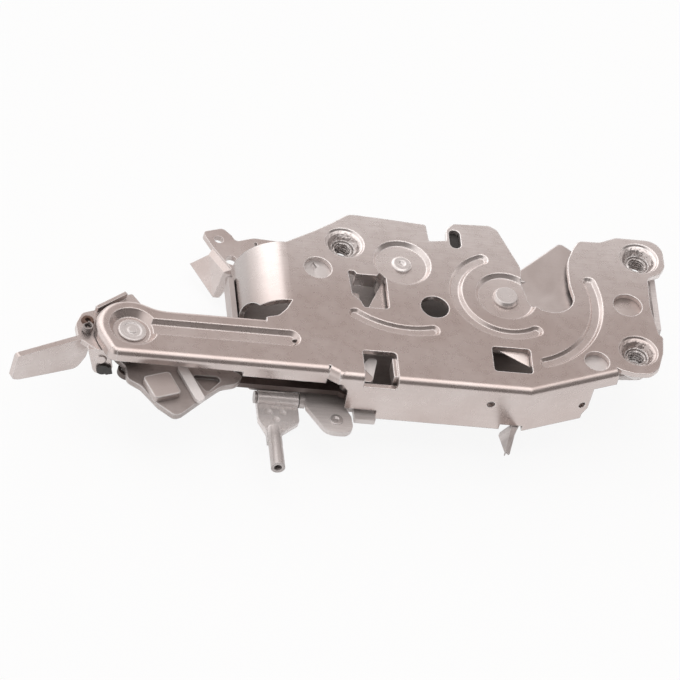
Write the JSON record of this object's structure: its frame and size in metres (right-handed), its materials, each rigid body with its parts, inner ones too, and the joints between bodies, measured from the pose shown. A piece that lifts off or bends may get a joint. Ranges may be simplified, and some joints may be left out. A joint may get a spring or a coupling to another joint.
{
  "type": "car door latch",
  "caption": "Car door latch with a rotary fork bolt, a detent and a long arm whose levers release and lock it; a beaded, flanged face plate screws to the door.",
  "frame": {"origin": "centre of the striker's seat at the closed end of the throat, in the plane of the mounting face", "axes": "+X along the latch away from the arm, +Y towards the side where the striker enters, +Z out of the mounting face"},
  "size_m": [0.2352, 0.1106, 0.0335],
  "materials": {
    "zinc_face": "pressed sheet with a satin zinc plate, bright along the folds",
    "zinc_back": "pressed sheet with a duller zinc plate",
    "zinc_nut": "bright zinc plate",
    "turned_steel": "turned steel",
    "rivet_steel": "bright riveted head",
    "bumper_rubber": "black moulded rubber",
    "spring_wire": "oiled spring wire",
    "fork_steel": "blanked thick steel, zinc plated",
    "lever_zinc": "blanked lever sheet, zinc plated",
    "bush_plastic": "brown moulded plastic",
    "clip_plastic": "dark moulded plastic"
  },
  "bodies": {
    "root": {"frame_plate": "zinc_face", "back_plate": "zinc_back", "anchor_nuts": "zinc_nut", "spacer_posts": "turned_steel", "fork_rivet": "rivet_steel", "detent_rivet": "rivet_steel", "arm_stud": "rivet_steel", "ear_rivet": "rivet_steel", "key_pin": "turned_steel", "outside_pivot": "turned_steel", "finger_post": "turned_steel", "fork_bumper": "bumper_rubber", "fork_spring": "spring_wire", "detent_spring": "spring_wire", "lock_spring": "spring_wire"},
    "fork": {"fork_bolt": "fork_steel"},
    "detent": {"detent_pawl": "fork_steel", "detent_tail": "lever_zinc"},
    "inside": {"inside_lever": "lever_zinc", "rod_bush": "bush_plastic", "rod_clip": "clip_plastic", "return_spring": "spring_wire"},
    "link": {"remote_link": "lever_zinc", "link_pin": "turned_steel"},
    "lock": {"lock_lever": "lever_zinc", "slide_block": "turned_steel", "lock_strap": "lever_zinc"},
    "bar": {"lock_bar": "lever_zinc"},
    "finger": {"finger_lever": "lever_zinc"},
    "outside": {"outside_lever": "lever_zinc"},
    "key": {"key_lever": "lever_zinc"}
  },
  "joints": [
    {"name": "fork_turn", "type": "hinge", "parent": "root", "child": "fork", "pos_m": [-0.016, -0.0024, -0.007], "axis": [0, 0, -1], "range_deg": [0, 80], "stiffness_Nm_per_rad": 0.05, "springref_deg": -17.19},
    {"name": "inside_pull", "type": "hinge", "parent": "root", "child": "inside", "pos_m": [-0.1508, -0.032, -0.006], "axis": [0, 0, -1], "range_deg": [0, 22], "stiffness_Nm_per_rad": 0.1, "springref_deg": -17.19},
    {"name": "link_slide", "type": "slide", "parent": "root", "child": "link", "axis": [1, 0, 0], "range_m": [0, 0.0043]},
    {"name": "detent_lift", "type": "hinge", "parent": "root", "child": "detent", "pos_m": [-0.0521, 0.0093, -0.007], "axis": [0, 0, 1], "range_deg": [0, 7.1], "stiffness_Nm_per_rad": 0.05, "springref_deg": -11.46},
    {"name": "lock_turn", "type": "hinge", "parent": "root", "child": "lock", "pos_m": [-0.1508, -0.032, -0.011], "axis": [0, 0, 1], "range_deg": [0, 14]},
    {"name": "bar_slide", "type": "slide", "parent": "root", "child": "bar", "axis": [1, 0, 0], "range_m": [0, 0.0022]},
    {"name": "finger_turn", "type": "hinge", "parent": "root", "child": "finger", "pos_m": [-0.074, -0.0294, -0.006], "axis": [0, 0, 1], "range_deg": [0, 10.8]},
    {"name": "outside_pull", "type": "hinge", "parent": "root", "child": "outside", "pos_m": [-0.056, 0.021, -0.021], "axis": [0, 0, 1], "range_deg": [0, 6], "stiffness_Nm_per_rad": 0.05, "springref_deg": -11.46},
    {"name": "key_turn", "type": "hinge", "parent": "root", "child": "key", "pos_m": [-0.09645, -0.0412, -0.0205], "axis": [1, 0, 0], "range_deg": [-15, 15]}
  ],
  "couplings": [
    {"joint": "link_slide", "follows": "inside_pull", "m_per_rad": 0.011},
    {"joint": "detent_lift", "follows": "inside_pull", "ratio": 0.3188},
    {"joint": "bar_slide", "follows": "lock_turn", "m_per_rad": 0.0084},
    {"joint": "finger_turn", "follows": "lock_turn", "ratio": 0.76364}
  ]
}
